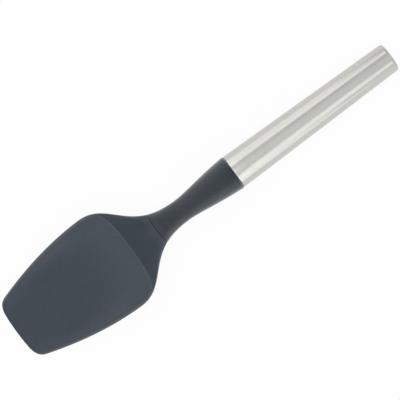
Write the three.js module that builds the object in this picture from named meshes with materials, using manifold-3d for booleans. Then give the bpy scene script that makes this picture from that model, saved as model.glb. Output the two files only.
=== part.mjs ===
import * as THREE from 'three';
import Module from 'manifold-3d';

// Spoon spatula: a shallow silicone bowl moulded over a nylon core, whose neck carries a hollow
// steel handle. Millimetres, +Z up, bowl facing up, +X from the handle towards the bowl's tip.
// While the pieces are shaped, x = 0 is the neck's shoulder, where the handle begins.

// Lengths along the spatula
const handleLength = 116;
const neckLength = 56.4;
const headLength = 106.7;
const seamGap = 0.3;
const clearance = 0.3;

// Handle
const mouthRadius = 11;
const endRadius = 9.2;
const tubeWall = 0.8;
const mouthChamfer = 0.35;
const handleSlope = THREE.MathUtils.degToRad(1.5);
const sealThickness = 0.4;
const sealGap = 0.15;
const sealRecess = 0.3;
const capEdgeRadius = 2.1;
const capDome = 0.55;
const capWall = 1.2;
const capSkirt = 7;

// Spigot that the tube is bonded to
const spigotLength = 46;
const spigotRadius = 8.6;
const spigotRoot = 3;
const spigotRootTaper = 2;
const ribCount = 3;
const ribLength = 6;
const ribChamfer = 1;
const leadIn = 1.2;

// Neck
const shoulderStep = 0.1;
const shoulderHold = 0.4;
const shoulderFall = 0.018;
const waistAt = 0.674;
const waistHold = 0.8;
const waistHalfWidth = 7.2;
const seamHold = 0.63;
const seamHalfWidth = 10.2;
const seamHalfHeight = 5.3;
const seamHeight = 6.1;
const seamLean = THREE.MathUtils.degToRad(6.5);
const edgeBreak = 0.2;
const depthHold = 0.28;
const depthFall = 0.7;
const depthSettles = 0.55;
const depthStays = 0.3;
const ovalPower = 2.25;

// Outline of the head, from the seam; the shares set how far each curve holds on to its start
const shoulderAt = 34.85;
const shoulderHalfWidth = 31.85;
const flareOpens = 0.45;
const flareWidens = 6.67;
const flareTurns = 0.523;
const bladeHold = 0.473;
const tipCornerLength = 6;
const cornerHalfWidth = 21.25;
const cornerHold = 0.19;
const tipBow = 0.85;
const tipEdgeHalfWidth = 10.9;

// Saddle behind the bowl
const saddleStart = 0.3;
const saddleDip = 0.9;
const saddleEnd = 0.69;
const saddleClimb = 1.2;

// Rim of the bowl
const creaseAt = 24.5;
const creaseSweep = 6.3;
const creaseSoft = 0.45;
const sweepEnds = 1.1;
const rimHeight = 14.2;
const rimSwell = 0.4;
const rimHold = 0.31;
const rimSettles = 0.65;
const rimFall = 0.79;
const tipHeight = 4.6;
const rimPower = 9;
const rimEdge = 1.2;
const tipRimEdge = 0.75;
const lipCut = 0.05;
const lipWidth = 1.3;
const tipLipWidth = 0.9;
const lipFace = 0.5;
const tipLipFace = 0.4;
const lipDrop = 0.9;
const tipLipDrop = 0.3;

// Bowl
const bowlCentre = 66.6;
const bowlFloor = 4;
const bowlCurve = 3;
const tipFloorRise = 0.35;
const bowlStarts = 0.25;
const bellyStarts = 0.6;
const bellyDip = 0.5;
const bellyEnd = 67.6;
const tipUnderside = 3;

// Core inside the head
const coreRootHalfWidth = 7.6;
const coreRootHalfHeight = 3.1;
const paddleHalfWidth = 11.5;
const paddleHalfThickness = 0.9;
const paddleMiddle = 2.1;
const paddleAt = 34;
const rootHold = 0.5;
const rootOpens = 0.6;
const coreStart = -4;
const coreLength = 74;
const paddlePower = 6;
const coreEndRound = 12;
const coreEndTurn = 0.94;
const keyHoleRadius = 3.4;
const keyHoleCount = 3;
const keyHoleFirst = 40;
const keyHolePitch = 11;

// How finely the surfaces are divided
const turnedSegments = 64;
const sealSegments = 48;
const spigotSegments = 36;
const keySegments = 20;
const neckPoints = 36;
const neckStations = 24;
const corePoints = 32;
const coreStations = 12;
const coreEndStations = 8;
const sidePoints = 22;
const flareStations = 18;
const bladeStations = 14;
const cornerStations = 7;
const creasePoints = 14;
const tipPoints = 6;
const hollowShares = [1, 0.95, 0.89, 0.82, 0.74, 0.65, 0.55, 0.44, 0.3, 0.15];
const domeSteps = 5;
const edgeSteps = 6;

// Colours
const siliconeColour = '#474f59';
const nylonColour = '#4a525b';
const sealColour = '#22262b';
const steelColour = '#c9c8c4';

const wasm = await Module();
wasm.setup();

const headAt = neckLength + seamGap;
// The handle falls towards its end, which touches the table behind the bowl's flat underside
const endReach = handleLength - capEdgeRadius;
const axisHeight = endReach * Math.sin(handleSlope) + endRadius * Math.cos(handleSlope);
const mix = THREE.MathUtils.lerp;
const ease = THREE.MathUtils.smoothstep;
const round = (angle, power) => {
  const c = Math.cos(angle);
  const s = Math.sin(angle);
  return [Math.sign(c) * Math.abs(c) ** (2 / power), Math.sign(s) * Math.abs(s) ** (2 / power)];
};
const plane = (x, y) => new THREE.Vector2(x, y);

// Height of a curve of (x, value) at a place x, by halving along the curve
function valueAt(curve, x) {
  let low = 0;
  let high = 1;
  for (let i = 0; i < 40; i += 1) {
    const half = (low + high) / 2;
    if (curve.getPoint(half).x < x) {
      low = half;
    } else {
      high = half;
    }
  }
  return curve.getPoint(low).y;
}

// Closed body: faces turned outwards
function body(vertices, triangles) {
  let volume = 0;
  for (let i = 0; i < triangles.length; i += 3) {
    const [a, b, c] = [0, 1, 2].map((k) => vertices[triangles[i + k]]);
    volume += a.dot(b.clone().cross(c));
  }
  const turned = volume < 0 ? triangles.slice().reverse() : triangles;
  return new wasm.Manifold(new wasm.Mesh({
    numProp: 3,
    vertProperties: new Float32Array(vertices.flatMap((point) => point.toArray())),
    triVerts: new Uint32Array(turned),
  }));
}

// Loft through rings of equal count, each starting at +y, over the top to -y and back below.
// Each end is closed between its upper and lower edge.
function loft(rings) {
  const count = rings[0].length;
  const last = (rings.length - 1) * count;
  const triangles = [];
  for (let ring = 0; ring < last; ring += count) {
    for (let j = 0; j < count; j += 1) {
      const next = (j + 1) % count;
      triangles.push(ring + j, ring + next, ring + count + next);
      triangles.push(ring + j, ring + count + next, ring + count + j);
    }
  }
  for (let j = 0; j < count / 2; j += 1) {
    const quad = [j, j + 1, count - j - 1, (count - j) % count];
    if (quad[1] !== quad[2]) {
      triangles.push(quad[0], quad[2], quad[1]);
      triangles.push(last + quad[0], last + quad[1], last + quad[2]);
    }
    if (quad[0] !== quad[3]) {
      triangles.push(quad[0], quad[3], quad[2]);
      triangles.push(last + quad[0], last + quad[2], last + quad[3]);
    }
  }
  return body(rings.flat(), triangles);
}

// Turned body about the handle's axis: profile of (radius, distance from the shoulder)
function turned(profile, segments) {
  const geometry = new THREE.LatheGeometry(profile, segments);
  geometry.rotateZ(Math.PI / 2);
  geometry.rotateY(-handleSlope);
  geometry.translate(0, 0, axisHeight);
  return geometry;
}

// The same body welded, so that it can be joined to another
function welded(geometry) {
  const position = geometry.getAttribute('position');
  const vertices = [];
  const places = new Map();
  const indexOf = [];
  for (let i = 0; i < position.count; i += 1) {
    const point = new THREE.Vector3().fromBufferAttribute(position, i);
    const key = point.toArray().map((value) => Math.round(value * 1e4)).join();
    if (!places.has(key)) {
      places.set(key, vertices.length);
      vertices.push(point);
    }
    indexOf.push(places.get(key));
  }
  const triangles = [];
  for (let i = 0; i < geometry.index.count; i += 3) {
    const corners = [0, 1, 2].map((k) => indexOf[geometry.index.getX(i + k)]);
    if (new Set(corners).size === 3) {
      triangles.push(...corners);
    }
  }
  return body(vertices, triangles);
}

function geometryOf(solid) {
  const { vertProperties, triVerts } = solid.getMesh();
  const geometry = new THREE.BufferGeometry();
  geometry.setAttribute('position', new THREE.BufferAttribute(Float32Array.from(vertProperties), 3));
  geometry.setIndex(new THREE.BufferAttribute(Uint32Array.from(triVerts), 1));
  geometry.computeVertexNormals();
  return geometry;
}

const finish = (color, roughness, metalness) => (
  new THREE.MeshStandardMaterial({ color, roughness, metalness })
);

function piece(name, geometry, material) {
  const mesh = new THREE.Mesh(geometry, material);
  mesh.name = name;
  return mesh;
}

// Neck: round at the handle, narrow at the waist, wide and low at the seam
const neckLine = new THREE.CubicBezierCurve(
  plane(0, axisHeight),
  plane(neckLength / 3, axisHeight + Math.tan(handleSlope) * neckLength / 3),
  plane(neckLength * 2 / 3, seamHeight + Math.tan(seamLean) * neckLength / 3),
  plane(neckLength, seamHeight),
);
const neckRadius = mouthRadius - shoulderStep;
const waist = waistAt * neckLength;
const neckSide = [
  new THREE.CubicBezierCurve(
    plane(0, neckRadius),
    plane(shoulderHold * waist, neckRadius - shoulderFall * waist),
    plane(waistHold * waist, waistHalfWidth),
    plane(waist, waistHalfWidth),
  ),
  new THREE.QuadraticBezierCurve(
    plane(waist, waistHalfWidth),
    plane(mix(waist, neckLength, seamHold), waistHalfWidth),
    plane(neckLength, seamHalfWidth),
  ),
];
const neckDepth = new THREE.CubicBezierCurve(
  plane(0, neckRadius),
  plane(depthHold * neckLength, neckRadius - depthFall),
  plane(depthSettles * neckLength, seamHalfHeight + depthStays),
  plane(neckLength, seamHalfHeight),
);

function neckRing(along, shrink) {
  const centre = neckLine.getPoint(along);
  const lean = neckLine.getTangent(along).angle();
  const halfWidth = valueAt(neckSide[centre.x < waist ? 0 : 1], centre.x) - shrink;
  const halfHeight = valueAt(neckDepth, centre.x) - shrink;
  const power = mix(2, ovalPower, ease(centre.x, waist, neckLength));
  return Array.from({ length: neckPoints }, (_, j) => {
    const [across, up] = round(2 * Math.PI * j / neckPoints, power);
    const rise = halfHeight * up;
    return new THREE.Vector3(
      centre.x - rise * Math.sin(lean),
      halfWidth * across,
      centre.y + rise * Math.cos(lean),
    );
  });
}

const broken = edgeBreak / neckLength;
const neckBody = loft([
  neckRing(0, edgeBreak),
  ...Array.from({ length: neckStations + 1 }, (_, i) => (
    neckRing(mix(broken, 1 - broken, i / neckStations), 0)
  )),
  neckRing(1, edgeBreak),
]);

// Spigot: ribs follow the tube's tapered inside
const tubeStart = sealThickness + 2 * sealGap;
const taper = (mouthRadius - endRadius) / (handleLength - capEdgeRadius - tubeStart);
const outerRadius = (distance) => mouthRadius - taper * (distance - tubeStart);
const innerRadius = (distance) => outerRadius(distance) - tubeWall;
const ribRadius = (distance) => innerRadius(distance) - clearance;
const ribPitch = (spigotLength - 2 * tubeStart - ribLength) / (ribCount - 1);
const spigotProfile = [
  plane(0, -spigotRoot),
  plane(spigotRadius - spigotRootTaper, -spigotRoot),
  plane(spigotRadius, 0),
];
for (let rib = 0; rib < ribCount; rib += 1) {
  const start = 2 * tubeStart + rib * ribPitch;
  const end = start + ribLength;
  const foot = rib === ribCount - 1 ? ribRadius(end) - leadIn : spigotRadius;
  spigotProfile.push(plane(spigotRadius, start), plane(ribRadius(start), start));
  spigotProfile.push(plane(ribRadius(end - ribChamfer), end - ribChamfer), plane(foot, end));
}
spigotProfile.push(plane(0, spigotLength));
const spigot = welded(turned(spigotProfile, spigotSegments));

// Core in the head: an oval root that thins to a flat paddle with a rounded end
const coreSide = new THREE.CubicBezierCurve(
  plane(0, coreRootHalfWidth),
  plane(rootHold * paddleAt, coreRootHalfWidth),
  plane(rootOpens * paddleAt, paddleHalfWidth),
  plane(paddleAt, paddleHalfWidth),
);

function coreRing(along, halfWidth, grow) {
  const settled = ease(along, 0, paddleAt);
  const middle = mix(seamHeight, paddleMiddle, settled);
  const halfHeight = mix(coreRootHalfHeight, paddleHalfThickness, settled) + grow;
  const power = mix(ovalPower, paddlePower, settled);
  return Array.from({ length: corePoints }, (_, j) => {
    const [across, up] = round(2 * Math.PI * j / corePoints, power);
    return new THREE.Vector3(headAt + along, (halfWidth + grow) * across, middle + halfHeight * up);
  });
}

function core(grow) {
  const rings = [coreRing(coreStart, coreRootHalfWidth, grow)];
  for (let i = 0; i <= coreStations; i += 1) {
    const along = paddleAt * i / coreStations;
    rings.push(coreRing(along, valueAt(coreSide, along), grow));
  }
  for (let i = 0; i <= coreEndStations; i += 1) {
    const share = i / coreEndStations;
    const [ahead, across] = round(Math.PI / 2 * (1 - coreEndTurn * share), 2);
    const along = coreLength - coreEndRound * (1 - ahead) + grow * share;
    rings.push(coreRing(along, paddleHalfWidth * across, grow));
  }
  return loft(rings);
}

function keys(radius) {
  const height = bowlFloor;
  const profile = [plane(0, 0), plane(radius, 0), plane(radius, height), plane(0, height)];
  return Array.from({ length: keyHoleCount }, (_, i) => {
    const peg = new THREE.LatheGeometry(profile, keySegments);
    peg.rotateX(Math.PI / 2);
    peg.translate(headAt + keyHoleFirst + i * keyHolePitch, 0, 0);
    return welded(peg);
  });
}

const without = (solid, cuts) => cuts.reduce((rest, cut) => rest.subtract(cut), solid);
const neckCore = without(neckBody.add(spigot).add(core(0)), keys(keyHoleRadius));

// Outline of the head's half, from the seam round the shoulder to the tip's corner
const tipEdgeAt = headLength - tipBow;
const cornerAt = tipEdgeAt - tipCornerLength;
const flareSide = new THREE.CubicBezierCurve(
  plane(0, seamHalfWidth),
  plane(flareOpens * shoulderAt, seamHalfWidth + flareWidens),
  plane(flareTurns * shoulderAt, shoulderHalfWidth),
  plane(shoulderAt, shoulderHalfWidth),
);
const bladeSide = new THREE.QuadraticBezierCurve(
  plane(shoulderAt, shoulderHalfWidth),
  plane(mix(shoulderAt, cornerAt, bladeHold), shoulderHalfWidth),
  plane(cornerAt, cornerHalfWidth),
);
const tipCorner = new THREE.QuadraticBezierCurve(
  plane(cornerAt, cornerHalfWidth),
  plane(tipEdgeAt, mix(cornerHalfWidth, tipEdgeHalfWidth, cornerHold)),
  plane(tipEdgeAt, tipEdgeHalfWidth),
);

// Heights along the head: saddle behind the bowl, rim, underside and bowl floor
const saddle = new THREE.CubicBezierCurve(
  plane(0, seamHeight + seamHalfHeight),
  plane(saddleStart * creaseAt, seamHeight + seamHalfHeight - saddleDip),
  plane(saddleEnd * creaseAt, rimHeight - saddleClimb),
  plane(creaseAt, rimHeight),
);
const rim = new THREE.CubicBezierCurve(
  plane(creaseAt, rimHeight),
  plane(mix(creaseAt, tipEdgeAt, rimHold), rimHeight + rimSwell),
  plane(mix(creaseAt, tipEdgeAt, rimSettles), mix(rimHeight, tipHeight, rimFall)),
  plane(tipEdgeAt, tipHeight),
);
const topAt = (x) => valueAt(x < creaseAt ? saddle : rim, x);
const floorAt = (x) => bowlFloor + tipFloorRise * ease(x, bowlCentre, tipEdgeAt);

function undersideAt(x) {
  if (x > bellyEnd) {
    return mix(-bellyDip, tipUnderside, ((x - bellyEnd) / (tipEdgeAt - bellyEnd)) ** 2);
  }
  return mix(seamHeight - seamHalfHeight, -bellyDip, ease(x, 0, bellyStarts * creaseAt));
}

function edgeAt(x) {
  const height = mix(rimEdge, tipRimEdge, ease(x, creaseAt, tipEdgeAt));
  return mix(seamHeight, topAt(x) - height, ease(x, 0, creaseAt));
}

// Stations sweep back in the middle at the crease and bow forward at the tip
function sweptX(x, across) {
  const side = Math.abs(across);
  const curve = mix(side ** 6, side ** 2, creaseSoft);
  const fade = x < creaseAt ? (x / creaseAt) ** 2 : 1 - ease(x, creaseAt, sweepEnds * cornerAt);
  const back = creaseSweep * fade;
  const forward = tipBow * ease(x, bowlCentre, tipEdgeAt);
  return x - back * (1 - curve) + forward * (1 - side ** 2);
}

function headRing(x, halfWidth, shrink) {
  const top = topAt(x) - shrink;
  const edge = edgeAt(x);
  const underside = undersideAt(x) + shrink;
  const bowl = ease(x, bowlStarts * creaseAt, creaseAt);
  const power = mix(ovalPower, rimPower, ease(x, 0, creaseAt));
  const lean = Math.tan(seamLean) * (1 - ease(x, 0, creaseAt / 2));
  return Array.from({ length: 2 * sidePoints }, (_, j) => {
    const above = j <= sidePoints;
    const [across, up] = round(Math.PI * j / sidePoints, above ? power : ovalPower);
    const low = mix(-up, 1 - Math.abs(across) ** bowlCurve, bowl);
    const z = above ? mix(edge, top, up) : mix(edge, underside, low);
    const y = (halfWidth - shrink) * across;
    return new THREE.Vector3(headAt + sweptX(x, across) + (z - seamHeight) * lean, y, z);
  });
}

const outline = [
  ...flareSide.getPoints(flareStations),
  ...bladeSide.getPoints(bladeStations).slice(1),
  ...tipCorner.getPoints(cornerStations).slice(1),
];
const breakEdge = flareSide.getPoint(edgeBreak / shoulderAt);
const blank = loft([
  headRing(0, seamHalfWidth, edgeBreak),
  headRing(breakEdge.x, breakEdge.y, 0),
  ...outline.slice(1).map((point) => headRing(point.x, point.y, 0)),
]);

// Rim line of the bowl: crease, sides and tip, then moved in by the lip
function rimLine() {
  const creaseHalfWidth = valueAt(flareSide, creaseAt);
  const half = [];
  for (let i = 0; i < creasePoints; i += 1) {
    const across = Math.sin(Math.PI / 2 * i / creasePoints);
    half.push(new THREE.Vector3(sweptX(creaseAt, across), creaseHalfWidth * across, rimHeight));
  }
  const sides = outline.filter((point) => point.x > creaseAt + 1);
  sides.forEach((point) => half.push(new THREE.Vector3(point.x, point.y, topAt(point.x))));
  for (let i = 1; i <= tipPoints; i += 1) {
    const across = 1 - i / tipPoints;
    half.push(new THREE.Vector3(sweptX(tipEdgeAt, across), tipEdgeHalfWidth * across, tipHeight));
  }
  const mirrored = half.slice(1, -1).reverse();
  return [...half, ...mirrored.map((point) => new THREE.Vector3(point.x, -point.y, point.z))];
}

// From the lip's width at the crease to its width at the tip
const alongRim = (rear, front, x) => mix(rear, front, ease(x, creaseAt, tipEdgeAt));

function movedIn(line, rear, front) {
  return line.map((point, i) => {
    const before = line[(i + line.length - 1) % line.length];
    const after = line[(i + 1) % line.length];
    const inward = new THREE.Vector3(after.y - before.y, before.x - after.x, 0).normalize();
    return point.clone().addScaledVector(inward, alongRim(rear, front, point.x));
  });
}

// Point of the hollow between its middle (share 0) and the lip (share 1). The lip's corners fade
// into an oval towards the middle, so the floor has no ridges.
function hollowPoint(lip, share) {
  const reach = plane(lip.x - bowlCentre, lip.y);
  const length = reach.length();
  const ovalLength = lip.x > bowlCentre ? headLength - bowlCentre : bowlCentre - creaseAt + creaseSweep;
  const oval = 1 / Math.hypot(reach.x / length / ovalLength, reach.y / length / shoulderHalfWidth);
  const radius = share * mix(oval / length, 1, share ** 2);
  const x = bowlCentre + reach.x * radius;
  const foot = lip.z - alongRim(lipDrop, tipLipDrop, lip.x);
  const z = mix(floorAt(x), foot, share ** bowlCurve);
  return new THREE.Vector3(x, reach.y * radius, z);
}

// Hollow of the bowl: rings from above the rim down to the floor
function bowlHollow() {
  const line = rimLine();
  const inner = movedIn(line, lipWidth, tipLipWidth);
  const opened = movedIn(line, lipWidth - lipFace, tipLipWidth - tipLipFace);
  const rings = [
    opened.map((point) => point.clone().setZ(2 * rimHeight)),
    opened.map((point) => point.clone().setZ(point.z + lipCut)),
  ];
  hollowShares.forEach((share) => {
    rings.push(inner.map((point) => hollowPoint(point, share)));
  });
  const count = inner.length;
  const vertices = rings.flat();
  const triangles = [];
  for (let ring = 0; ring < (rings.length - 1) * count; ring += count) {
    for (let j = 0; j < count; j += 1) {
      const next = (j + 1) % count;
      triangles.push(ring + j, ring + next, ring + count + next);
      triangles.push(ring + j, ring + count + next, ring + count + j);
    }
  }
  const lid = vertices.push(new THREE.Vector3(bowlCentre, 0, 2 * rimHeight)) - 1;
  const bottom = vertices.push(new THREE.Vector3(bowlCentre, 0, floorAt(bowlCentre))) - 1;
  for (let j = 0; j < count; j += 1) {
    const next = (j + 1) % count;
    triangles.push(next, j, lid);
    triangles.push((rings.length - 1) * count + j, (rings.length - 1) * count + next, bottom);
  }
  vertices.forEach((point) => point.setX(point.x + headAt));
  return body(vertices, triangles);
}

// Flat patch that the head rests on: everything below the table plane is taken off
function belowTable() {
  const half = headLength / 2;
  const slab = new THREE.BoxGeometry(2 * headLength, headLength, headLength);
  slab.translate(headAt + half, 0, -half);
  return welded(slab);
}

const coreRoom = without(core(clearance), keys(keyHoleRadius - clearance));
const head = without(blank, [bowlHollow(), belowTable(), coreRoom]);

// Handle: tapered tube, sealing ring at its mouth, domed cap welded into its end
const tubeEnd = handleLength - capEdgeRadius - sealGap;
const tube = turned([
  plane(innerRadius(tubeStart), tubeStart),
  plane(outerRadius(tubeStart) - mouthChamfer, tubeStart),
  plane(outerRadius(tubeStart + mouthChamfer), tubeStart + mouthChamfer),
  plane(outerRadius(tubeEnd), tubeEnd),
  plane(innerRadius(tubeEnd), tubeEnd),
  plane(innerRadius(tubeStart), tubeStart),
], turnedSegments);

const sealInner = spigotRadius + clearance;
const seal = turned([
  plane(sealInner, sealGap),
  plane(mouthRadius - sealRecess, sealGap),
  plane(mouthRadius - sealRecess, sealGap + sealThickness),
  plane(sealInner, sealGap + sealThickness),
  plane(sealInner, sealGap),
], sealSegments);

function capProfile() {
  const start = handleLength - capEdgeRadius;
  const plug = innerRadius(tubeEnd) - clearance;
  const crown = endRadius - capEdgeRadius;
  const points = [];
  for (let i = 0; i <= domeSteps; i += 1) {
    const radius = crown * i / domeSteps;
    points.push(plane(radius, handleLength - capDome * (radius / crown) ** 2));
  }
  for (let i = 1; i <= edgeSteps; i += 1) {
    const angle = Math.PI / 2 * i / edgeSteps;
    const fall = (capEdgeRadius - capDome) * (1 - Math.cos(angle));
    points.push(plane(crown + capEdgeRadius * Math.sin(angle), handleLength - capDome - fall));
  }
  points.push(plane(plug, start), plane(plug, start - capSkirt));
  points.push(plane(plug - capWall, start - capSkirt), plane(plug - capWall, handleLength - 2 * capWall));
  points.push(plane(0, handleLength - 2 * capWall));
  return points.reverse();
}

const spatula = new THREE.Group();
spatula.name = 'spoon_spatula';
spatula.add(piece('silicone_head', geometryOf(head), finish(siliconeColour, 0.62, 0)));
spatula.add(piece('neck_core', geometryOf(neckCore), finish(nylonColour, 0.42, 0)));
spatula.add(piece('seal_ring', seal, finish(sealColour, 0.6, 0)));
spatula.add(piece('handle_tube', tube, finish(steelColour, 0.32, 1)));
spatula.add(piece('end_cap', turned(capProfile(), turnedSegments), finish(steelColour, 0.3, 1)));

// Origin under the middle of the whole spatula, on the table
const box = new THREE.Box3().setFromObject(spatula);
spatula.position.set(-(box.min.x + box.max.x) / 2, 0, -box.min.z);
spatula.updateMatrixWorld(true);

export default spatula;
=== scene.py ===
import math

import bmesh
import bpy
from mathutils import Matrix, Vector


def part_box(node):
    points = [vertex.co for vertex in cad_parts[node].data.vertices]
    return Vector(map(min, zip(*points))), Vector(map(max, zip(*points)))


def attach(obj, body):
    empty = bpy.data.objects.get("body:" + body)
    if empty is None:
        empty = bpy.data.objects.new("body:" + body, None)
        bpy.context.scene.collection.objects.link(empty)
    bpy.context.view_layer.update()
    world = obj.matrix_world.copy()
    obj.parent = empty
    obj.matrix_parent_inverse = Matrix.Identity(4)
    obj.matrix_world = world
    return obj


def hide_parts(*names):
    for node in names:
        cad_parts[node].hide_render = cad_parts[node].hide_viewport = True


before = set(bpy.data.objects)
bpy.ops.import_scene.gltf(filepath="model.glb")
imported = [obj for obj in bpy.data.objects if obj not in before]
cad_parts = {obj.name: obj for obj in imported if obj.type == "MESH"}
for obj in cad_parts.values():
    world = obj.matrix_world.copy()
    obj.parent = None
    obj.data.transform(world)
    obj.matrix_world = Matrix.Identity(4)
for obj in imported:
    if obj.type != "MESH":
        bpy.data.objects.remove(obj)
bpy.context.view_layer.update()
mm = 0.001
print("frame loaded:", ", ".join(sorted(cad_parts)))

# main sizes in millimetres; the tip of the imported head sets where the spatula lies
layout = {
    "handleLength": 115.95,
    "neckLength": 56.4,
    "seamGap": 0.3,
    "headLength": 106.7,
    "handleSlope": math.radians(1.5),  # the handle falls towards its end, which touches the table
    "mouthRadius": 10.99,
    "endRadius": 9.2,
    "capEdgeRadius": 2.1,
}
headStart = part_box("silicone_head")[1].x / mm - layout["headLength"]
neckStart = headStart - layout["seamGap"] - layout["neckLength"]
slopeSin = math.sin(layout["handleSlope"])
slopeCos = math.cos(layout["handleSlope"])
capStart = layout["handleLength"] - layout["capEdgeRadius"]
axisHeight = capStart * slopeSin + layout["endRadius"] * slopeCos  # at the neck's shoulder

sharpAngle = math.radians(50)  # the turned pieces keep edges that are sharper than this
halvings = 40  # steps of the search along a curve
tinyStep = 1e-4


def mix(a, b, share):
    return a + (b - a) * share


def ease(value, low, high):
    share = min(max((value - low) / (high - low), 0), 1)
    return share * share * (3 - 2 * share)


def curvePoint(points, t):  # point on a quadratic or cubic curve
    while len(points) > 1:
        points = [(mix(a[0], b[0], t), mix(a[1], b[1], t)) for a, b in zip(points, points[1:])]
    return points[0]


def valueAt(points, x):  # second value of a curve that runs along x
    low, high = 0, 1
    for _ in range(halvings):
        half = (low + high) / 2
        if curvePoint(points, half)[0] < x:
            low = half
        else:
            high = half
    return curvePoint(points, low)[1]


def roundedPoint(angle, power):  # point on a rounded square; power 2 is a circle
    across = math.cos(angle)
    up = math.sin(angle)
    return (
        math.copysign(abs(across) ** (2 / power), across),
        math.copysign(abs(up) ** (2 / power), up),
    )


def meshPiece(name, points, faces, material, node, paintedLight=None):
    mesh = bpy.data.meshes.new(name)
    mesh.from_pydata([(x * mm, y * mm, z * mm) for x, y, z in points], [], faces)
    shape = bmesh.new()
    shape.from_mesh(mesh)
    bmesh.ops.recalc_face_normals(shape, faces=shape.faces)
    for face in shape.faces:
        face.smooth = True
    shape.to_mesh(mesh)
    shape.free()
    mesh.materials.append(material)
    piece = bpy.data.objects.new(name, mesh)
    bpy.context.collection.objects.link(piece)
    if paintedLight:  # a moulded piece: share of painted highlight per point, and smoothed once
        light = mesh.attributes.new("paintedLight", "FLOAT", "POINT")
        light.data.foreach_set("value", paintedLight)
        smooth = piece.modifiers.new("smooth", "SUBSURF")
        smooth.levels = 1
        smooth.render_levels = 1
    else:
        mesh.set_sharp_from_angle(angle=sharpAngle)
    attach(piece, "root")
    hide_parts(node)
    print("piece:", name, len(points), "points")


def turnedPiece(name, profile, around, material, node):
    # profile of (radius, distance from the neck's shoulder), turned about the handle's axis
    points = []
    rings = []
    for radius, distance in profile:
        ring = []
        for j in range(around if radius else 1):
            angle = 2 * math.pi * j / around
            up = radius * math.sin(angle)
            ring.append(len(points))
            points.append((
                neckStart - distance * slopeCos - up * slopeSin,
                radius * math.cos(angle),
                axisHeight - distance * slopeSin + up * slopeCos,
            ))
        rings.append(ring)
    pairs = list(zip(rings, rings[1:]))
    if profile[0][0]:  # off the axis the profile closes on itself
        pairs.append((rings[-1], rings[0]))
    faces = []
    for a, b in pairs:
        for j in range(around):
            k = (j + 1) % around
            corners = [a[j % len(a)], a[k % len(a)], b[k % len(b)], b[j % len(b)]]
            faces.append(tuple(dict.fromkeys(corners)))
    meshPiece(name, points, faces, material, node)


rampSpread = (0.3, 0.7)  # part of the noise over which a ramp runs


def newMaterial(name, colour, metallic=0.0):
    material = bpy.data.materials.new(name)
    material.use_nodes = True
    shader = material.node_tree.nodes["Principled BSDF"]
    shader.inputs["Base Color"].default_value = (*colour, 1)
    shader.inputs["Metallic"].default_value = metallic
    return material, material.node_tree, shader


def noise(tree, scale, detail, stretch=(1, 1, 1)):
    place = tree.nodes.new("ShaderNodeTexCoord")
    mapping = tree.nodes.new("ShaderNodeMapping")
    mapping.inputs["Scale"].default_value = stretch
    texture = tree.nodes.new("ShaderNodeTexNoise")
    texture.inputs["Scale"].default_value = scale
    texture.inputs["Detail"].default_value = detail
    tree.links.new(place.outputs["Object"], mapping.inputs["Vector"])
    tree.links.new(mapping.outputs["Vector"], texture.inputs["Vector"])
    return texture.outputs["Fac"]


def colourRamp(tree, source, low, high):
    ramp = tree.nodes.new("ShaderNodeValToRGB")
    for stop, position, colour in zip(ramp.color_ramp.elements, rampSpread, (low, high)):
        stop.position = position
        stop.color = (*colour, 1)
    tree.links.new(source, ramp.inputs["Fac"])
    return ramp.outputs["Color"]


def varyRoughness(tree, shader, source, roughness):
    greys = [(level,) * 3 for level in roughness]
    tree.links.new(colourRamp(tree, source, *greys), shader.inputs["Roughness"])


def addBump(tree, shader, source, strength, depth):
    bump = tree.nodes.new("ShaderNodeBump")
    bump.inputs["Strength"].default_value = strength
    bump.inputs["Distance"].default_value = depth
    tree.links.new(source, bump.inputs["Height"])
    tree.links.new(bump.outputs["Normal"], shader.inputs["Normal"])


def paintHighlight(tree, source, colour):  # painted highlight: towards a paler colour where the mesh says so
    share = tree.nodes.new("ShaderNodeAttribute")
    share.attribute_name = "paintedLight"
    blend = tree.nodes.new("ShaderNodeMix")
    blend.data_type = "RGBA"
    blend.inputs["B"].default_value = (*colour, 1)
    tree.links.new(share.outputs["Fac"], blend.inputs["Factor"])
    tree.links.new(source, blend.inputs["A"])
    return blend.outputs["Result"]


# noise is given by scale and detail, bump by strength and depth in metres
silicone = {
    "dark": (0.0235, 0.0345, 0.0492),
    "light": (0.0275, 0.0394, 0.0555),
    "pale": (0.06, 0.075, 0.09),  # painted highlight on the lip, the rim, the flare's edges and the wall below the rim
    "cloud": (320, 5),
    "grain": (2600, 3),
    "roughness": (0.38, 0.48),
    "bump": (0.25, 0.00006),
    "ior": 1.43,
    "sheen": 0.3,
    "sheenRoughness": 0.5,
    "sheenTint": (0.82, 0.92, 1.0),
}
nylon = {
    "dark": (0.0025, 0.0085, 0.0165),
    "light": (0.004, 0.0105, 0.0195),
    "pale": (0.034, 0.042, 0.05),  # painted highlight at the seam and along the sides
    "cloud": (350, 5),
    "grain": (3200, 2),
    "roughness": (0.32, 0.4),
    "bump": (0.15, 0.00004),
    "ior": 1.4,
    "sheen": 0.55,
    "sheenRoughness": 0.55,
    "sheenTint": (0.82, 0.92, 1.0),
}


def mouldedMaterial(name, finish):
    material, tree, shader = newMaterial(name, finish["dark"])
    cloud = noise(tree, *finish["cloud"])
    grain = noise(tree, *finish["grain"])
    tint = colourRamp(tree, cloud, finish["dark"], finish["light"])
    tree.links.new(paintHighlight(tree, tint, finish["pale"]), shader.inputs["Base Color"])
    varyRoughness(tree, shader, grain, finish["roughness"])
    addBump(tree, shader, grain, *finish["bump"])
    shader.inputs["IOR"].default_value = finish["ior"]
    shader.inputs["Sheen Weight"].default_value = finish["sheen"]
    shader.inputs["Sheen Roughness"].default_value = finish["sheenRoughness"]
    shader.inputs["Sheen Tint"].default_value = (*finish["sheenTint"], 1)
    return material


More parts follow.
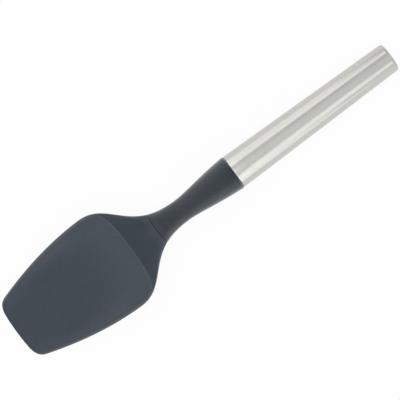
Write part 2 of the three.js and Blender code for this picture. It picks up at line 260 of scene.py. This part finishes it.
steel = {
    "colour": (0.62, 0.613, 0.577),
    "worn": (0.66, 0.653, 0.618),
    "hairlines": (1, 4, (4200, 60, 60)),  # stretched, so that the lines run round the handle
    "cloud": (45, 3),
    "tubeRoughness": (0.15, 0.23),
    "capRoughness": (0.42, 0.5),
    "bump": (0.12, 0.00002),
}


def steelMaterial(name, roughness):
    material, tree, shader = newMaterial(name, steel["colour"], metallic=1.0)
    hairlines = noise(tree, *steel["hairlines"])
    tint = colourRamp(tree, hairlines, steel["colour"], steel["worn"])
    tree.links.new(tint, shader.inputs["Base Color"])
    varyRoughness(tree, shader, noise(tree, *steel["cloud"]), roughness)
    addBump(tree, shader, hairlines, *steel["bump"])
    return material


sealant = {
    "colour": (0.028, 0.034, 0.041),
    "grain": (1800, 3),
    "roughness": (0.5, 0.7),
}


def sealMaterial():
    material, tree, shader = newMaterial("darkSeal", sealant["colour"])
    varyRoughness(tree, shader, noise(tree, *sealant["grain"]), sealant["roughness"])
    return material


siliconeFinish = mouldedMaterial("matteSilicone", silicone)
nylonFinish = mouldedMaterial("satinNylon", nylon)
tubeFinish = steelMaterial("brushedTube", steel["tubeRoughness"])
capFinish = steelMaterial("brushedCap", steel["capRoughness"])
sealFinish = sealMaterial()
print("materials made")

# millimetres; places along the neck, holds of its curves and painted highlights are shares
neck = {
    "shoulderStep": 0.1,
    "shoulderHalfWidth": 11.15,
    "shoulderHold": 0.4,
    "shoulderFall": 0.018,
    "waistAt": 0.674,
    "waistHold": 0.8,
    "waistHalfWidth": 7.27,
    "seamHold": 0.63,
    "seamHalfWidth": 10.2,
    "seamHalfHeight": 5.3,
    "seamHeight": 6.1,
    "seamLean": math.radians(6.5),
    "depthHold": 0.28,
    "depthFall": 0.7,
    "depthSettles": 0.55,
    "depthStays": 0.3,
    "edgeBreak": 0.2,
    "edgeMiddle": (0.35, 0.3),  # place and inset half way round a broken edge, in edge breaks
    "firstStation": 1.5,  # in edge breaks from each end
    "shoulderInset": 5,  # rings inside the end faces
    "seamInset": 3,
    # painted highlight at the seam and along the sides near it
    "seamHighlightLength": 5.0,
    "seamLight": 0.3,
    "sideLight": 0.8,
    "sideLightAlong": (0.72, 0.92),
    "sideLightAcross": (0.5, 0.95),
    "around": 64,
    "stations": 60,
}


def neckCurves():
    length = layout["neckLength"]
    third = length / 3
    waist = neck["waistAt"] * length
    thin = neck["waistHalfWidth"]
    shoulderWidth = neck["shoulderHalfWidth"]
    radius = layout["mouthRadius"] - neck["shoulderStep"]
    line = [
        (0, axisHeight),
        (third, axisHeight + math.tan(layout["handleSlope"]) * third),
        (2 * third, neck["seamHeight"] + math.tan(neck["seamLean"]) * third),
        (length, neck["seamHeight"]),
    ]
    upperSide = [
        (0, shoulderWidth),
        (neck["shoulderHold"] * waist, shoulderWidth - neck["shoulderFall"] * waist),
        (neck["waistHold"] * waist, thin),
        (waist, thin),
    ]
    lowerSide = [
        (waist, thin),
        (mix(waist, length, neck["seamHold"]), thin),
        (length, neck["seamHalfWidth"]),
    ]
    depth = [
        (0, radius),
        (neck["depthHold"] * length, radius - neck["depthFall"]),
        (neck["depthSettles"] * length, neck["seamHalfHeight"] + neck["depthStays"]),
        (length, neck["seamHalfHeight"]),
    ]
    return line, upperSide, lowerSide, depth


def makeNeck():
    length = layout["neckLength"]
    count = neck["around"]
    angles = [2 * math.pi * j / count for j in range(count)]
    line, upperSide, lowerSide, depth = neckCurves()
    waist = lowerSide[0][0]

    def ring(t, inset):
        x, z = curvePoint(line, t)
        ahead = curvePoint(line, min(t + tinyStep, 1))
        behind = curvePoint(line, max(t - tinyStep, 0))
        lean = math.atan2(ahead[1] - behind[1], ahead[0] - behind[0])
        halfWidth = valueAt(upperSide if x < waist else lowerSide, x) - inset
        halfHeight = valueAt(depth, x) - inset
        points = []
        for angle in angles:
            rise = halfHeight * math.sin(angle)
            points.append((
                neckStart + x - rise * math.sin(lean),
                halfWidth * math.cos(angle),
                z + rise * math.cos(lean),
            ))
        return points

    # share of the length and inset of each ring
    edge = neck["edgeBreak"]
    edgeAlong, edgeIn = neck["edgeMiddle"]
    brokenEdge = [(0, edge), (edgeAlong * edge / length, edgeIn * edge), (edge / length, 0)]
    first = neck["firstStation"] * edge / length
    places = [(0, neck["shoulderInset"])] + brokenEdge
    for i in range(neck["stations"] + 1):
        places.append((mix(first, 1 - first, i / neck["stations"]), 0))
    places += [(1 - t, inset) for t, inset in reversed(brokenEdge)]
    places.append((1, neck["seamInset"]))

    points = [point for place in places for point in ring(*place)]
    faces = [tuple(range(count)), tuple(range(len(points) - count, len(points)))]
    for start in range(0, len(points) - count, count):
        for j in range(count):
            k = (j + 1) % count
            faces.append((start + j, start + k, start + count + k, start + count + j))

    # painted highlight: lighter over the last millimetres before the seam, and along the sides near it
    seamHighlightShare = neck["seamHighlightLength"] / length
    light = []
    for t, _ in places:
        seamLight = neck["seamLight"] * ease(t, 1 - seamHighlightShare, 1)
        sideLight = neck["sideLight"] * ease(t, *neck["sideLightAlong"])
        for angle in angles:
            side = ease(abs(math.cos(angle)), *neck["sideLightAcross"])
            light.append(max(seamLight, sideLight * side))
    meshPiece("neck", points, faces, nylonFinish, "neck_core", light)


makeNeck()

# millimetres from the seam; holds of curves are shares, and pairs of the rim and lip run from crease to tip
head = {
    # outline
    "shoulderAt": 34.85,
    "shoulderHalfWidth": 31.85,
    "flareOpens": 0.45,
    "flareWidens": 6.67,
    "flareTurns": 0.523,
    "bladeHold": 0.473,
    "cornerAt": 99.85,
    "cornerHalfWidth": 21.25,
    "cornerHold": 0.19,
    "tipEdgeAt": 105.85,
    "tipEdgeHalfWidth": 10.9,
    "tipRound": 0.45,
    "tipRoundPower": 8,
    # saddle, crease and rim
    "saddleStart": 0.3,
    "saddleDip": 0.9,
    "saddleEnd": 0.69,
    "saddleClimb": 1.2,
    "creaseAt": 24.85,
    "creaseSweep": 6.3,  # how far back the crease lies in the middle
    "creaseTurn": 0.55,  # share of the sweep that turns late, near the sides
    "creaseTurnPower": 6,
    "sweepEnds": 1.1,  # in shares of the corner's place
    "rimHeight": 14.2,
    "rimSwell": 0.4,
    "rimHold": 0.31,
    "rimSettles": 0.65,
    "rimFall": 0.79,
    "tipHeight": 4.6,
    "rimEdge": (1.2, 0.75),
    "rimRound": (1.5, 1.1),  # width of the rounded rim
    "rimPower": 9,  # how square the top is across, from the crease on
    # where the seam's oval starts or ends a change, in shares of the crease's place
    "squareFrom": 0.15,
    "bowlFrom": 0.25,
    "rimFrom": 0.5,
    "leanEnds": 0.5,
    "bellyFrom": 0.6,
    # lip and bowl
    "lipWidth": (0.5, 0.45),
    "lipFace": (0.35, 0.35),
    "lipDrop": (0.5, 0.25),
    "lipRings": ((-0.5, 0), (-0.12, 0.04), (0.5, 0.5), (0.94, 0.96)),  # shares of face and drop
    "wallRings": (
        0.985, 0.96, 0.93, 0.89, 0.85, 0.8, 0.74, 0.68, 0.61, 0.53, 0.45, 0.36, 0.27, 0.18, 0.09,
    ),
    "bowlCentre": 66.6,
    "bowlFloor": 4.0,
    "bowlCurve": 3.0,
    "tipFloorRise": 0.35,
    "wallSoft": 1.2,  # the wall starts less steep below the lip
    "wallSoftPower": 6,
    "wallFollow": 2,  # higher turns the rings from the lip's outline to an oval sooner
    "cornerFollow": 6,  # the same at the corners, where the oval lies inside the outline
    # underside
    "bellyDip": 0.5,
    "bellyEnd": 67.6,
    "tipUnderside": 3.0,
    # shares of the pale colour, a painted highlight
    "outerLight": 1.0,
    "flareLight": 0.4,
    "flareLightAcross": (0.5, 0.97),
    "lipLight": (0.6, 1.0, 0.3),  # on the first rings of the lip
    "rearLight": 0.9,  # share of the lip's painted highlight along the crease
    "rearLightEnds": 0.85,
    "wallLight": 0.22,  # painted highlight on the wall towards the rim at the sides
    "wallLightEnds": 0.6,
    "wallLightAcross": (0.3, 0.8),
    # mesh
    "seamInset": 3.0,
    "acrossPoints": 40,
    "rimPoints": 6,
    "saddleRows": 26,
    "saddleCrowding": 1.35,
    "shoulderRows": 9,
    "bladeRows": 34,
    "cornerRows": 14,
}
crease = head["creaseAt"]
shoulder = head["shoulderAt"]
tip = head["tipEdgeAt"]
tipBow = layout["headLength"] - tip - head["tipRound"]
acrossCount = head["acrossPoints"]
aroundCount = 2 * acrossCount
rimCount = head["rimPoints"]
seamHeight = neck["seamHeight"]

flareSide = [
    (0, neck["seamHalfWidth"]),
    (head["flareOpens"] * shoulder, neck["seamHalfWidth"] + head["flareWidens"]),
    (head["flareTurns"] * shoulder, head["shoulderHalfWidth"]),
    (shoulder, head["shoulderHalfWidth"]),
]
bladeSide = [
    (shoulder, head["shoulderHalfWidth"]),
    (mix(shoulder, head["cornerAt"], head["bladeHold"]), head["shoulderHalfWidth"]),
    (head["cornerAt"], head["cornerHalfWidth"]),
]
tipCorner = [
    (head["cornerAt"], head["cornerHalfWidth"]),
    (tip, mix(head["cornerHalfWidth"], head["tipEdgeHalfWidth"], head["cornerHold"])),
    (tip, head["tipEdgeHalfWidth"]),
]
seamTop = seamHeight + neck["seamHalfHeight"]
saddleLine = [
    (0, seamTop),
    (head["saddleStart"] * crease, seamTop - head["saddleDip"]),
    (head["saddleEnd"] * crease, head["rimHeight"] - head["saddleClimb"]),
    (crease, head["rimHeight"]),
]
rimLine = [
    (crease, head["rimHeight"]),
    (mix(crease, tip, head["rimHold"]), head["rimHeight"] + head["rimSwell"]),
    (mix(crease, tip, head["rimSettles"]), mix(head["rimHeight"], head["tipHeight"], head["rimFall"])),
    (tip, head["tipHeight"]),
]


def alongRim(key, x):
    return mix(*head[key], ease(x, crease, tip))


def topAt(x):
    return valueAt(saddleLine if x < crease else rimLine, x)


def floorAt(x):
    return head["bowlFloor"] + head["tipFloorRise"] * ease(x, head["bowlCentre"], tip)


def undersideAt(x):
    if x > head["bellyEnd"]:
        share = (x - head["bellyEnd"]) / (tip - head["bellyEnd"])
        return mix(-head["bellyDip"], head["tipUnderside"], share ** 2)
    seamBottom = seamHeight - neck["seamHalfHeight"]
    return mix(seamBottom, -head["bellyDip"], ease(x, 0, head["bellyFrom"] * crease))


def edgeAt(x):  # height at which the top and the underside meet at the sides
    return mix(seamHeight, topAt(x) - alongRim("rimEdge", x), ease(x, 0, crease))


def sweptX(x, across):  # the crease lies further back in the middle, the tip further forward
    side = abs(across)
    bend = mix(side ** 2, side ** head["creaseTurnPower"], head["creaseTurn"])
    if x < crease:
        sweep = (x / crease) ** 2
    else:
        sweep = 1 - ease(x, crease, head["sweepEnds"] * head["cornerAt"])
    forward = tipBow * ease(x, head["bowlCentre"], tip)
    return x - head["creaseSweep"] * sweep * (1 - bend) + forward * (1 - side ** 2)


def overTop(x, halfWidth, j):  # place across and share of the height, from side to side over the top
    square = ease(x, head["squareFrom"] * crease, crease)
    rimmed = ease(x, head["rimFrom"] * crease, crease)
    across, up = roundedPoint(math.pi * j / acrossCount, mix(2, head["rimPower"], square))
    crest = 1 - alongRim("rimRound", x) / halfWidth
    if rimCount < j < acrossCount - rimCount:  # between the rims
        inner = crest / roundedPoint(math.pi * rimCount / acrossCount, head["rimPower"])[0]
        return across * mix(1, inner, rimmed), mix(up, 1, rimmed)
    turn = math.pi / 2 * min(j, acrossCount - j) / rimCount
    side = math.copysign(mix(1, crest, 1 - math.cos(turn)), across)
    return mix(across, side, rimmed), mix(up, math.sin(turn), rimmed)


def headRing(x, halfWidth, inset):
    top = topAt(x) - inset
    edge = edgeAt(x)
    under = undersideAt(x) + inset
    bowl = ease(x, head["bowlFrom"] * crease, crease)
    lean = math.tan(neck["seamLean"]) * (1 - ease(x, 0, head["leanEnds"] * crease))
    points = []
    for j in range(aroundCount):
        if j <= acrossCount:
            across, up = overTop(x, halfWidth, j)
            z = mix(edge, top, up)
        else:
            angle = math.pi * j / acrossCount
            across = math.cos(angle)
            low = mix(-math.sin(angle), 1 - abs(across) ** head["bowlCurve"], bowl)
            z = max(mix(edge, under, low), 0)
        leaned = sweptX(x, across) + (z - seamHeight) * lean
        points.append((headStart + leaned, (halfWidth - inset) * across, z))
    return points


def headStations():  # place, half width and inset of each ring: seam, saddle, shoulder, blade, corner
    edge = neck["edgeBreak"]
    edgeAlong, edgeIn = [share * edge for share in neck["edgeMiddle"]]
    stations = [
        (0, neck["seamHalfWidth"], head["seamInset"]),
        (0, neck["seamHalfWidth"], edge),
        (edgeAlong, valueAt(flareSide, edgeAlong), edgeIn),
    ]
    rows = head["saddleRows"]
    flareXs = [edge]
    flareXs += [crease * (1 - (1 - i / rows) ** head["saddleCrowding"]) for i in range(1, rows + 1)]
    rows = head["shoulderRows"]
    flareXs += [mix(crease, shoulder, i / rows) for i in range(1, rows + 1)]
    stations += [(x, valueAt(flareSide, x), 0) for x in flareXs]
    for side, rows in ((bladeSide, head["bladeRows"]), (tipCorner, head["cornerRows"])):
        stations += [(*curvePoint(side, i / rows), 0) for i in range(1, rows + 1)]
    return stations


def lipRing(line, faceShare, dropShare):
    # across the lip: 0 is the top of its inner face, 1 the foot, below 0 the crest
    ring = []
    for i, (x, y, z) in enumerate(line):
        before = line[i - 1]
        after = line[(i + 1) % len(line)]
        face = alongRim("lipFace", x)
        crest = alongRim("lipWidth", x) - face
        reach = crest + face * faceShare if faceShare > 0 else crest * (1 + faceShare)
        inward = Vector((after[1] - before[1], before[0] - after[0])).normalized() * reach
        ring.append((x + inward.x, y + inward.y, z - dropShare * alongRim("lipDrop", x)))
    return ring


def wallPoint(foot, share):  # between the bowl's centre and the foot of the lip
    centre = head["bowlCentre"]
    reach = Vector((foot[0] - centre, foot[1]))
    length = reach.length
    ovalLength = layout["headLength"] - centre
    if foot[0] <= centre:
        ovalLength = centre - crease + head["creaseSweep"]
    oval = 1 / math.hypot(reach.x / length / ovalLength, reach.y / length / head["shoulderHalfWidth"])
    follow = head["cornerFollow"] if oval < length else head["wallFollow"]
    radius = share * mix(oval / length, 1, share ** follow)
    x = centre + reach.x * radius
    soft = 1 + head["wallSoft"] * (1 - share) * share ** head["wallSoftPower"]
    return x, reach.y * radius, mix(floorAt(x), foot[2], share ** head["bowlCurve"] * soft)


def at(row, j):  # index of a point on the outer skin
    return row * aroundCount + j % aroundCount


def outerFaces(rowCount, creaseRow):  # closed at the seam, open over the bowl
    faces = [tuple(range(aroundCount))]
    for row in range(rowCount - 1):
        for j in range(aroundCount):
            if row < creaseRow or not rimCount <= j < acrossCount - rimCount:
                faces.append((at(row, j), at(row, j + 1), at(row + 1, j + 1), at(row + 1, j)))
    return faces


def addNose(points, faces, last):  # rounded nose: a bulged line between the tip's upper and lower edge
    nose = [at(last, 0)]
    for j in range(1, acrossCount):
        middle = (Vector(points[at(last, j)]) + Vector(points[at(last, -j)])) / 2
        side = abs(middle.y / head["tipEdgeHalfWidth"])
        middle.x += head["tipRound"] * (1 - side ** head["tipRoundPower"])
        nose.append(len(points))
        points.append(tuple(middle))
    nose.append(at(last, acrossCount))
    for j in range(acrossCount):
        upper = [at(last, j), at(last, j + 1), nose[j + 1], nose[j]]
        lower = [nose[j], nose[j + 1], at(last, -j - 1), at(last, -j)]
        faces.append(tuple(dict.fromkeys(upper)))
        faces.append(tuple(dict.fromkeys(lower)))


def rimLoop(stations, creaseRow):
    # inner edge of the rim: the crease from side to side, one side, the tip, the other side
    loop = []
    line = []
    last = len(stations) - 1
    otherRim = acrossCount - rimCount
    creaseWidth = stations[creaseRow][1]
    for j in range(otherRim, rimCount - 1, -1):
        across = overTop(crease, creaseWidth, j)[0]
        loop.append(at(creaseRow, j))
        line.append((sweptX(crease, across), creaseWidth * across, head["rimHeight"]))
    sides = [(row, *stations[row][:2]) for row in range(creaseRow + 1, last)]
    for row, x, halfWidth in sides:
        loop.append(at(row, rimCount))
        line.append((x, halfWidth * overTop(x, halfWidth, rimCount)[0], topAt(x)))
    tipWidth = head["tipEdgeHalfWidth"]
    for j in range(rimCount, otherRim + 1):
        across = overTop(tip, tipWidth, j)[0]
        loop.append(at(last, j))
        line.append((sweptX(tip, across), tipWidth * across, head["tipHeight"]))
    for row, x, halfWidth in reversed(sides):
        loop.append(at(row, otherRim))
        line.append((x, -halfWidth * overTop(x, halfWidth, rimCount)[0], topAt(x)))
    return loop, line


def addHollow(points, faces, loop, line):  # lip and wall, ring by ring down to the bowl's centre
    foot = lipRing(line, 1, 1)
    hollow = [lipRing(line, *shares) for shares in head["lipRings"]]
    hollow += [[wallPoint(point, share) for point in foot] for share in head["wallRings"]]
    count = len(line)
    previous = loop
    for ring in hollow:
        current = list(range(len(points), len(points) + count))
        points += [(headStart + x, y, z) for x, y, z in ring]
        for i in range(count):
            k = (i + 1) % count
            faces.append((previous[i], previous[k], current[k], current[i]))
        previous = current
    centre = len(points)
    points.append((headStart + head["bowlCentre"], 0, floorAt(head["bowlCentre"])))
    for i in range(count):
        faces.append((previous[i], previous[(i + 1) % count], centre))


def headLight(points, stations, creaseRow, line):  # share of the painted highlight colour, in the points' order
    light = []
    for row in range(len(stations)):
        halfWidth = abs(points[at(row, 0)][1])
        for j in range(aroundCount):
            across = abs(points[at(row, j)][1]) / halfWidth
            if j > acrossCount:
                light.append(0.0)
            elif row >= creaseRow and min(j, acrossCount - j) <= rimCount:
                light.append(head["outerLight"])
            else:
                light.append(head["flareLight"] * ease(across, *head["flareLightAcross"]))
    light += [0.0] * (acrossCount - 1)  # the nose
    creaseWidth = stations[creaseRow][1]
    for ringLight in head["lipLight"]:
        for x, y, _ in line:
            side = ease(abs(y), head["rearLightEnds"] * creaseWidth, creaseWidth) if x < shoulder else 1
            light.append(ringLight * mix(head["rearLight"], 1, side))
    sideRange = [share * head["shoulderHalfWidth"] for share in head["wallLightAcross"]]
    for share in (1, *head["wallRings"]):
        ringLight = head["wallLight"] * ease(share, head["wallLightEnds"], 1)
        light += [ringLight * ease(abs(y), *sideRange) for _, y, _ in line]
    light.append(0.0)  # the bowl's centre
    return light


def makeHead():
    stations = headStations()
    creaseRow = [x for x, _, _ in stations].index(crease)
    points = [point for station in stations for point in headRing(*station)]
    faces = outerFaces(len(stations), creaseRow)
    addNose(points, faces, len(stations) - 1)
    loop, line = rimLoop(stations, creaseRow)
    addHollow(points, faces, loop, line)
    light = headLight(points, stations, creaseRow, line)
    meshPiece("siliconeHead", points, faces, siliconeFinish, "silicone_head", light)


makeHead()

seal = {
    "thickness": 0.4,
    "gap": 0.15,  # on both sides
    "recess": 0.3,
    "innerRadius": 8.9,
    "chamfer": 0.1,
    "around": 120,
}
tube = {
    "wall": 0.8,
    "mouthRound": 0.2,
    "mouthAngles": (0.4, 0.8, 1.2),
    "rows": 12,
    "around": 160,
}
tubeStart = seal["thickness"] + 2 * seal["gap"]


def tubeRadius(distance):
    taper = (layout["mouthRadius"] - layout["endRadius"]) / (capStart - tubeStart)
    return layout["mouthRadius"] - taper * (distance - tubeStart)


def makeTube():
    mouth = layout["mouthRadius"]
    edge = tube["mouthRound"]
    profile = [(mouth - tube["wall"], tubeStart), (mouth - edge, tubeStart)]
    for angle in tube["mouthAngles"]:
        profile.append((mouth - edge * (1 - math.sin(angle)), tubeStart + edge * (1 - math.cos(angle))))
    for i in range(tube["rows"] + 1):
        distance = mix(tubeStart + edge, capStart, i / tube["rows"])
        profile.append((tubeRadius(distance), distance))
    profile.append((tubeRadius(capStart) - tube["wall"], capStart))
    turnedPiece("handleTube", profile, tube["around"], tubeFinish, "handle_tube")


def makeSeal():
    low = seal["innerRadius"]
    high = layout["mouthRadius"] - seal["recess"]
    near = seal["gap"]
    far = seal["gap"] + seal["thickness"]
    cut = seal["chamfer"]
    profile = [(low, near), (high - cut, near), (high, near + cut)]
    profile += [(high, far - cut), (high - cut, far), (low, far)]
    turnedPiece("sealRing", profile, seal["around"], sealFinish, "seal_ring")


cap = {
    "dome": 0.55,
    "wall": 1.2,
    "skirt": 7.0,
    "clearance": 0.3,
    "crownRows": 10,
    "edgeRows": 12,
    "around": 160,
}


def makeCap():
    length = layout["handleLength"]
    edge = layout["capEdgeRadius"]
    crown = layout["endRadius"] - edge
    profile = []
    for i in range(cap["crownRows"] + 1):
        share = i / cap["crownRows"]
        profile.append((crown * share, length - cap["dome"] * share ** 2))
    for i in range(1, cap["edgeRows"] + 1):
        angle = math.pi / 2 * i / cap["edgeRows"]
        fall = (edge - cap["dome"]) * (1 - math.cos(angle))
        profile.append((crown + edge * math.sin(angle), length - cap["dome"] - fall))
    plug = tubeRadius(capStart) - tube["wall"] - cap["clearance"]
    bore = plug - cap["wall"]
    skirtEnd = capStart - cap["skirt"]
    inside = length - 2 * cap["wall"]
    profile += [(plug, capStart), (plug, skirtEnd), (bore, skirtEnd), (bore, inside), (0, inside)]
    turnedPiece("endCap", profile, cap["around"], capFinish, "end_cap")


makeTube()
makeSeal()
makeCap()
print("pieces made")

# metres from here on
stage = {
    "floorSize": 6.0,
    "floorDrop": 0.0002,
    "floorColour": (0.9, 0.9, 0.9),
    "shadowShare": 0.055,  # part of the floor's look that takes light and shadow
    "mirrored": 0.88,  # level of the floor in reflections
    "world": 0.79,
    "worldLean": (0.48, 0.1, 0.0),  # brighter towards the tip, darker behind the handle
    "worldColour": (0.99, 0.995, 1.0),
}


def makeFloor():
    bpy.ops.mesh.primitive_plane_add(size=stage["floorSize"], location=(0, 0, -stage["floorDrop"]))
    floor = bpy.context.object
    floor.name = "floor"
    material = bpy.data.materials.new("paleFloor")
    material.use_nodes = True
    nodes, links = material.node_tree.nodes, material.node_tree.links
    nodes.clear()
    out = nodes.new("ShaderNodeOutputMaterial")
    blend = nodes.new("ShaderNodeMixShader")
    blend.inputs[0].default_value = 1 - stage["shadowShare"]
    matte = nodes.new("ShaderNodeBsdfDiffuse")
    matte.inputs["Color"].default_value = (*stage["floorColour"], 1)
    glow = nodes.new("ShaderNodeEmission")
    path = nodes.new("ShaderNodeLightPath")
    level = nodes.new("ShaderNodeMath")
    level.operation = "MULTIPLY_ADD"
    level.inputs[1].default_value = stage["mirrored"] - 1
    level.inputs[2].default_value = 1
    links.new(path.outputs["Is Glossy Ray"], level.inputs[0])
    links.new(level.outputs[0], glow.inputs["Strength"])
    links.new(matte.outputs[0], blend.inputs[1])
    links.new(glow.outputs[0], blend.inputs[2])
    links.new(blend.outputs[0], out.inputs[0])
    floor.data.materials.append(material)


def makeWorld():
    world = bpy.data.worlds.new("studio")
    bpy.context.scene.world = world
    world.use_nodes = True
    nodes, links = world.node_tree.nodes, world.node_tree.links
    back = nodes["Background"]
    back.inputs["Color"].default_value = (*stage["worldColour"], 1)
    place = nodes.new("ShaderNodeTexCoord")
    lean = nodes.new("ShaderNodeVectorMath")
    lean.operation = "DOT_PRODUCT"
    lean.inputs[1].default_value = stage["worldLean"]
    level = nodes.new("ShaderNodeMath")
    level.operation = "ADD"
    level.inputs[1].default_value = stage["world"]
    links.new(place.outputs["Generated"], lean.inputs[0])
    links.new(lean.outputs["Value"], level.inputs[0])
    links.new(level.outputs[0], back.inputs["Strength"])


makeFloor()
makeWorld()

# softboxes; each looks at the long axis at its own x, or at "aim", and "turn" swings it about the middle
lamps = {
    "rightHigh": {"place": (0.36, 0.479, 0.529), "size": (0.6, 0.32), "power": 0.262, "turn": 41},
    "rightHighFar": {"place": (1.05, 0.479, 0.529), "size": (0.5, 0.32), "power": 0.55, "turn": 41},
    "rightLow": {"place": (0.56, 0.675, 0.256), "size": (0.4, 0.444), "power": 0.215, "turn": 41},
    "rightLowFar": {"place": (1.1, 0.675, 0.256), "size": (0.54, 0.444), "power": 0.8, "turn": 41},
    "leftHigh": {"place": (-0.06, -0.535, 0.585), "size": (1.02, 0.28), "power": 0.47, "turn": 20},
    "leftLow": {"place": (-0.1, -0.774, 0.284), "size": (0.9, 0.514), "power": 0.69, "turn": 20},
    "topBox": {"place": (0.05, 0.0, 1.5), "size": (1.0, 1.0), "power": 0.3},
    "bowlTop": {"place": (0.52, 0.0, 1.45), "size": (0.6, 0.8), "power": 0.5, "aim": 0.05},
    "endBox": {"place": (-0.8, 0.0, 0.45), "size": (0.4, 0.9), "power": 0.75, "aim": 0.05},
    "tipBox": {"place": (0.75, 0.0, 0.4), "size": (0.6, 0.5), "power": 0.08, "aim": 0.05},
}


def makeLamps():
    for name, lamp in lamps.items():
        data = bpy.data.lights.new(name, "AREA")
        data.shape = "RECTANGLE"
        data.size, data.size_y = lamp["size"]
        data.energy = lamp["power"]
        item = bpy.data.objects.new(name, data)
        bpy.context.collection.objects.link(item)
        place = Vector(lamp["place"])
        look = Vector((lamp.get("aim", place.x), 0, 0)) - place
        stand = Matrix.Translation(place) @ look.to_track_quat("-Z", "Y").to_matrix().to_4x4()
        item.matrix_world = Matrix.Rotation(math.radians(lamp.get("turn", 0)), 4, "Z") @ stand


makeLamps()

camera = {
    "aim": (0.0021, 0.0015, 0.009),
    "turn": math.radians(180 - 36.43),
    "tilt": math.radians(3.5),  # leans towards the handle's end
    "distance": 0.95,
    "lens": 143.2,
    "sensor": 36,
}


def makeCamera():
    data = bpy.data.cameras.new("camera")
    data.lens = camera["lens"]
    data.sensor_width = camera["sensor"]
    item = bpy.data.objects.new("camera", data)
    bpy.context.collection.objects.link(item)
    # seen along the spatula first, then turned in the picture
    look = Matrix.Rotation(-camera["tilt"], 4, "Y") @ Matrix.Rotation(camera["turn"], 4, "Z")
    back = Matrix.Translation((0, 0, camera["distance"]))
    item.matrix_world = Matrix.Translation(camera["aim"]) @ look @ back
    bpy.context.scene.camera = item


makeCamera()
bpy.context.scene.view_settings.view_transform = "Standard"
print("stage, lamps and camera made")
